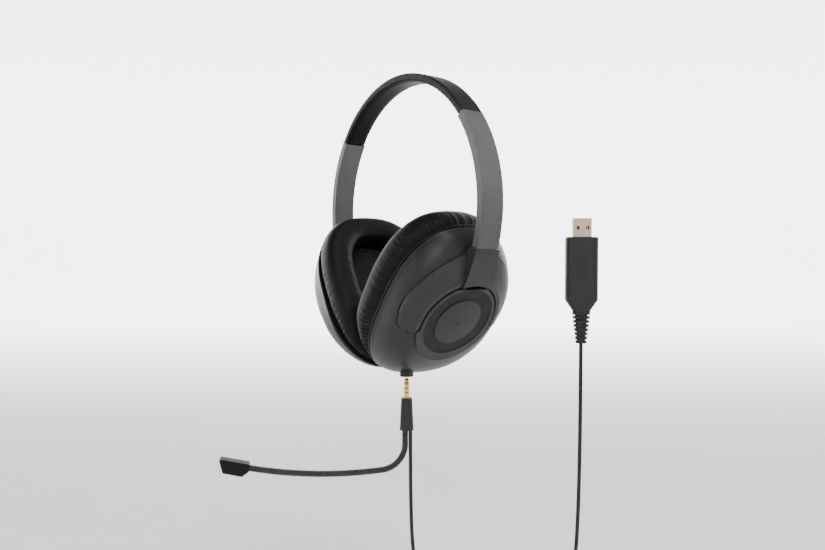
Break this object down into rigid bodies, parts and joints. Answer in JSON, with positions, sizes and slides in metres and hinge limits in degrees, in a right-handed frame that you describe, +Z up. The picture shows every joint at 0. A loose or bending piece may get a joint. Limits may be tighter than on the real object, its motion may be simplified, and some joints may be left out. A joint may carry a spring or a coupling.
{
  "type": "headset",
  "caption": "Closed over-ear headset with sliding padded headband, tilting cups, and a plug-in boom microphone on a USB cord.",
  "frame": {"origin": "where the underside of the head pad rests on the crown of the head", "axes": "+X towards the wearer's left ear, -Y towards the wearer's front, +Z up"},
  "size_m": [0.2089, 0.2029, 0.3814],
  "materials": {
    "spring_steel": "blued spring strip",
    "crown_plastic": "fine matt grain",
    "head_pad": "soft matt foam skin",
    "cord_jacket": "satin PVC jacket",
    "arm_plastic": "satin dark grey moulding",
    "screw_steel": "black zinc plate",
    "shell_plastic": "satin warm dark grey moulding",
    "trim_plastic": "dark textured ring",
    "cap_plastic": "satin dark grey, plain",
    "inner_plastic": "black moulding",
    "diaphragm_film": "thin film",
    "screen_cloth": "fine black mesh",
    "cushion_velour": "black velour over foam",
    "gold_contact": "gold plate",
    "plug_rubber": "soft matt overmould",
    "gooseneck_rubber": "ribbed sleeve",
    "capsule_plastic": "matt moulding",
    "element_metal": "electret can",
    "usb_steel": "nickel plate",
    "circuit_board": "green board"
  },
  "bodies": {
    "headband": {"spring_band": "spring_steel", "crown_cover": "crown_plastic", "pad_carrier": "crown_plastic", "head_pad": "head_pad", "crossover_lead": "cord_jacket", "left_arm_shell": "arm_plastic", "right_arm_shell": "arm_plastic", "left_arm_cover": "arm_plastic", "right_arm_cover": "arm_plastic", "left_arm_screws": "screw_steel", "right_arm_screws": "screw_steel"},
    "left_yoke": {"left_yoke_fork": "arm_plastic", "left_slider_strip": "spring_steel"},
    "left_cup": {"left_cup_shell": "shell_plastic", "left_trim_ring": "trim_plastic", "left_centre_cap": "cap_plastic", "left_baffle": "inner_plastic", "left_cup_screws": "screw_steel", "left_driver_frame": "inner_plastic", "left_driver_magnet": "screw_steel", "left_driver_diaphragm": "diaphragm_film", "left_ear_screen": "screen_cloth", "left_ear_cushion": "cushion_velour", "left_pivot_pins": "screw_steel", "audio_socket": "inner_plastic"},
    "right_yoke": {"right_yoke_fork": "arm_plastic", "right_slider_strip": "spring_steel"},
    "right_cup": {"right_cup_shell": "shell_plastic", "right_trim_ring": "trim_plastic", "right_centre_cap": "cap_plastic", "right_baffle": "inner_plastic", "right_cup_screws": "screw_steel", "right_driver_frame": "inner_plastic", "right_driver_magnet": "screw_steel", "right_driver_diaphragm": "diaphragm_film", "right_ear_screen": "screen_cloth", "right_ear_cushion": "cushion_velour", "right_pivot_pins": "screw_steel"},
    "mic_unit": {"jack_tip": "gold_contact", "jack_rings": "gold_contact", "jack_insulators": "inner_plastic", "jack_sleeve": "gold_contact", "plug_housing": "plug_rubber", "gooseneck_root": "gooseneck_rubber", "mic_cord": "cord_jacket", "cord_hank": "cord_jacket", "usb_cord": "cord_jacket", "strain_relief": "plug_rubber", "usb_body_front": "plug_rubber", "usb_body_back": "plug_rubber", "usb_shell": "usb_steel", "usb_tongue": "inner_plastic", "usb_contacts": "gold_contact", "usb_board": "circuit_board"},
    "boom_middle": {"gooseneck_middle": "gooseneck_rubber"},
    "boom_tip": {"gooseneck_tip": "gooseneck_rubber", "capsule_outer": "capsule_plastic", "capsule_inner": "capsule_plastic", "mic_element": "element_metal"}
  },
  "joints": [
    {"name": "left_size_slide", "type": "slide", "parent": "headband", "child": "left_yoke", "axis": [-0.0993, 0, -0.9951], "range_m": [0, 0.025]},
    {"name": "right_size_slide", "type": "slide", "parent": "headband", "child": "right_yoke", "axis": [0.0993, 0, -0.9951], "range_m": [0, 0.025]},
    {"name": "left_cup_tilt", "type": "hinge", "parent": "left_yoke", "child": "left_cup", "pos_m": [0.0519, 0, -0.16015], "axis": [0, -1, 0], "range_deg": [0, 5]},
    {"name": "right_cup_tilt", "type": "hinge", "parent": "right_yoke", "child": "right_cup", "pos_m": [-0.0519, 0, -0.16015], "axis": [0, 1, 0], "range_deg": [0, 5]},
    {"name": "mic_plug", "type": "slide", "parent": "left_cup", "child": "mic_unit", "axis": [0, 0, 1], "range_m": [-0.06, 0.0148]},
    {"name": "boom_swing", "type": "hinge", "parent": "mic_unit", "child": "boom_middle", "pos_m": [0.02086, -0.0149, -0.25], "axis": [-0.9171, 0.3987, 0], "range_deg": [-12, 20]},
    {"name": "boom_bend", "type": "hinge", "parent": "boom_middle", "child": "boom_tip", "pos_m": [-0.00317, -0.07018, -0.26676], "axis": [-0.9171, 0.3987, 0], "range_deg": [-20, 20]}
  ]
}
